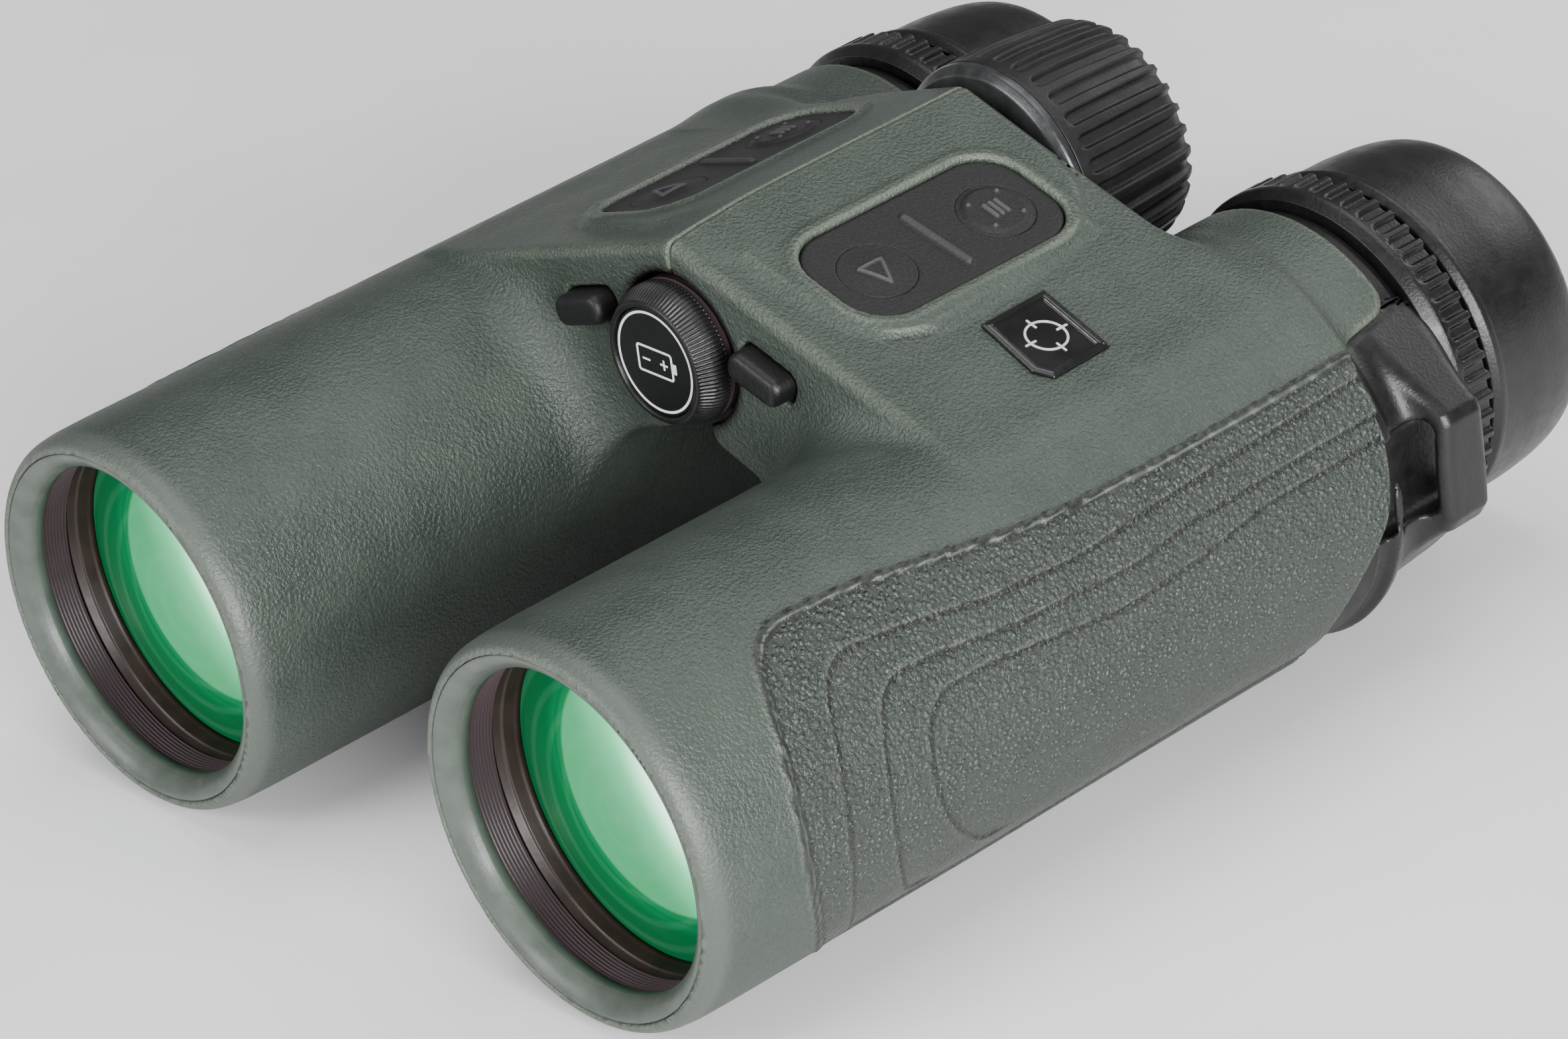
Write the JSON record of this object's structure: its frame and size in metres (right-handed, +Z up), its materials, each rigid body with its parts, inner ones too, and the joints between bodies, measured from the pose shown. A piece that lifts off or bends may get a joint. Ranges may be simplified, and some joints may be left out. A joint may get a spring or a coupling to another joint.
{
  "type": "rangefinding binocular",
  "caption": "Folding laser rangefinding binocular with roof prisms, centre focus wheel, keypads, twist-up eyecups and a battery in the hinge.",
  "frame": {"origin": "middle of the underside, where the two barrels rest, halfway between the objective rims and the eyecups", "axes": "+Y from the objectives to the eyepieces, +Z up, +X towards the user's right-hand barrel"},
  "size_m": [0.1346, 0.1554, 0.0674],
  "materials": {
    "armour": "matte, fine leather grain",
    "black_rubber": "matte, speckled",
    "magnesium": "die cast, bead blasted",
    "satin_black": "satin black, fine texture",
    "black_plastic": "satin moulded",
    "anodised_black": "matte black anodised",
    "coated_glass": "green antireflection coating",
    "prism_glass": "polished",
    "name_plate": "black with bevelled edge",
    "circuit": "solder mask",
    "contact": "plated",
    "cell": "printed steel can",
    "seal": "greased",
    "module": "plain",
    "brass": "turned"
  },
  "bodies": {
    "left_half": {"chassis_left": "magnesium", "armour_left": "armour", "rim_lip_left": "armour", "front_bumper_left": "black_rubber", "strap_lug_left": "black_plastic", "objective_baffle_left": "anodised_black", "objective_retainer_left": "anodised_black", "objective_lens_left": "coated_glass", "roof_prism_left": "prism_glass", "eyepiece_housing_left": "satin_black", "ocular_lenses_left": "prism_glass", "keypad_left": "black_rubber", "dome_board_left": "circuit", "circuit_board_left": "circuit", "laser_receiver": "module", "display_unit": "module", "hinge_tube": "anodised_black", "battery_contact": "contact", "focus_bush": "brass"},
    "right_half": {"chassis_right": "magnesium", "armour_right": "armour", "rim_lip_right": "armour", "front_bumper_right": "black_rubber", "strap_lug_right": "black_plastic", "objective_baffle_right": "anodised_black", "objective_retainer_right": "anodised_black", "objective_lens_right": "coated_glass", "roof_prism_right": "prism_glass", "eyepiece_housing_right": "satin_black", "ocular_lenses_right": "prism_glass", "keypad_right": "black_rubber", "dome_board_right": "circuit", "circuit_board_right": "circuit", "laser_emitter": "module", "name_plate": "name_plate"},
    "focus_wheel": {"focus_wheel": "satin_black", "focus_grip": "black_rubber", "focus_screw": "brass"},
    "focus_nut": {"focus_nut": "brass"},
    "focus_cell_left": {"focus_cell_left": "anodised_black", "focus_lens_left": "prism_glass", "focus_arm_left": "anodised_black"},
    "focus_cell_right": {"focus_cell_right": "anodised_black", "focus_lens_right": "prism_glass", "focus_arm_right": "anodised_black"},
    "battery_cap": {"battery_cap": "black_plastic", "cap_disc": "name_plate", "cap_seal": "seal"},
    "battery": {"battery": "cell"},
    "diopter_ring_left": {"diopter_ring_left": "satin_black"},
    "eyecup_guide_left": {"eyecup_guide_left": "black_plastic"},
    "eyecup_left": {"eyecup_left": "black_plastic"},
    "front_button_left": {"front_button_left": "black_rubber"},
    "rear_button_left": {"rear_button_left": "black_rubber"},
    "diopter_ring_right": {"diopter_ring_right": "satin_black"},
    "eyecup_guide_right": {"eyecup_guide_right": "black_plastic"},
    "eyecup_right": {"eyecup_right": "black_plastic"},
    "front_button_right": {"front_button_right": "black_rubber"},
    "rear_button_right": {"rear_button_right": "black_rubber"}
  },
  "joints": [
    {"name": "fold", "type": "hinge", "parent": "left_half", "child": "right_half", "pos_m": [0, -0.00275, 0.0509], "axis": [0, 1, 0], "range_deg": [0, 38]},
    {"name": "focus_turn", "type": "hinge", "parent": "left_half", "child": "focus_wheel", "pos_m": [0, 0.04425, 0.0509], "axis": [0, 1, 0], "range_deg": [-270, 270]},
    {"name": "focus_nut_travel", "type": "slide", "parent": "left_half", "child": "focus_nut", "axis": [0, 1, 0], "range_m": [-0.0031, 0.0031]},
    {"name": "focus_left", "type": "slide", "parent": "left_half", "child": "focus_cell_left", "axis": [0, 1, 0], "range_m": [-0.0031, 0.0031]},
    {"name": "focus_right", "type": "slide", "parent": "right_half", "child": "focus_cell_right", "axis": [0, 1, 0], "range_m": [-0.0031, 0.0031]},
    {"name": "diopter_left", "type": "hinge", "parent": "left_half", "child": "diopter_ring_left", "pos_m": [-0.03767, 0.05525, 0.02885], "axis": [0, 1, 0], "range_deg": [-50, 50]},
    {"name": "eyecup_twist_left", "type": "hinge", "parent": "left_half", "child": "eyecup_guide_left", "pos_m": [-0.03767, 0.06325, 0.02885], "axis": [0, 1, 0], "range_deg": [0, 150]},
    {"name": "eyecup_rise_left", "type": "slide", "parent": "eyecup_guide_left", "child": "eyecup_left", "axis": [0, 1, 0], "range_m": [0, 0.0091]},
    {"name": "front_press_left", "type": "slide", "parent": "left_half", "child": "front_button_left", "axis": [0.3007, 0, -0.9537], "range_m": [0, 0.0006], "stiffness_N_per_m": 600},
    {"name": "rear_press_left", "type": "slide", "parent": "left_half", "child": "rear_button_left", "axis": [0.3007, 0, -0.9537], "range_m": [0, 0.0006], "stiffness_N_per_m": 600},
    {"name": "diopter_right", "type": "hinge", "parent": "right_half", "child": "diopter_ring_right", "pos_m": [0.03767, 0.05525, 0.02885], "axis": [0, 1, 0], "range_deg": [-50, 50]},
    {"name": "eyecup_twist_right", "type": "hinge", "parent": "right_half", "child": "eyecup_guide_right", "pos_m": [0.03767, 0.06325, 0.02885], "axis": [0, 1, 0], "range_deg": [0, 150]},
    {"name": "eyecup_rise_right", "type": "slide", "parent": "eyecup_guide_right", "child": "eyecup_right", "axis": [0, 1, 0], "range_m": [0, 0.0091]},
    {"name": "front_press_right", "type": "slide", "parent": "right_half", "child": "front_button_right", "axis": [-0.3007, 0, -0.9537], "range_m": [0, 0.0006], "stiffness_N_per_m": 600},
    {"name": "rear_press_right", "type": "slide", "parent": "right_half", "child": "rear_button_right", "axis": [-0.3007, 0, -0.9537], "range_m": [0, 0.0006], "stiffness_N_per_m": 600},
    {"name": "cap_off", "type": "slide", "parent": "left_half", "child": "battery_cap", "axis": [0, -1, 0], "range_m": [0, 0.045]},
    {"name": "battery_out", "type": "slide", "parent": "left_half", "child": "battery", "axis": [0, -1, 0], "range_m": [0, 0.0361]}
  ],
  "couplings": [
    {"joint": "focus_nut_travel", "follows": "focus_turn", "m_per_rad": 0.00063662},
    {"joint": "focus_left", "follows": "focus_turn", "m_per_rad": 0.00063662},
    {"joint": "focus_right", "follows": "focus_turn", "m_per_rad": 0.00063662},
    {"joint": "eyecup_rise_left", "follows": "eyecup_twist_left", "m_per_rad": 0.0034377},
    {"joint": "eyecup_rise_right", "follows": "eyecup_twist_right", "m_per_rad": 0.0034377},
    {"joint": "battery_out", "follows": "cap_off", "ratio": 0.8}
  ]
}
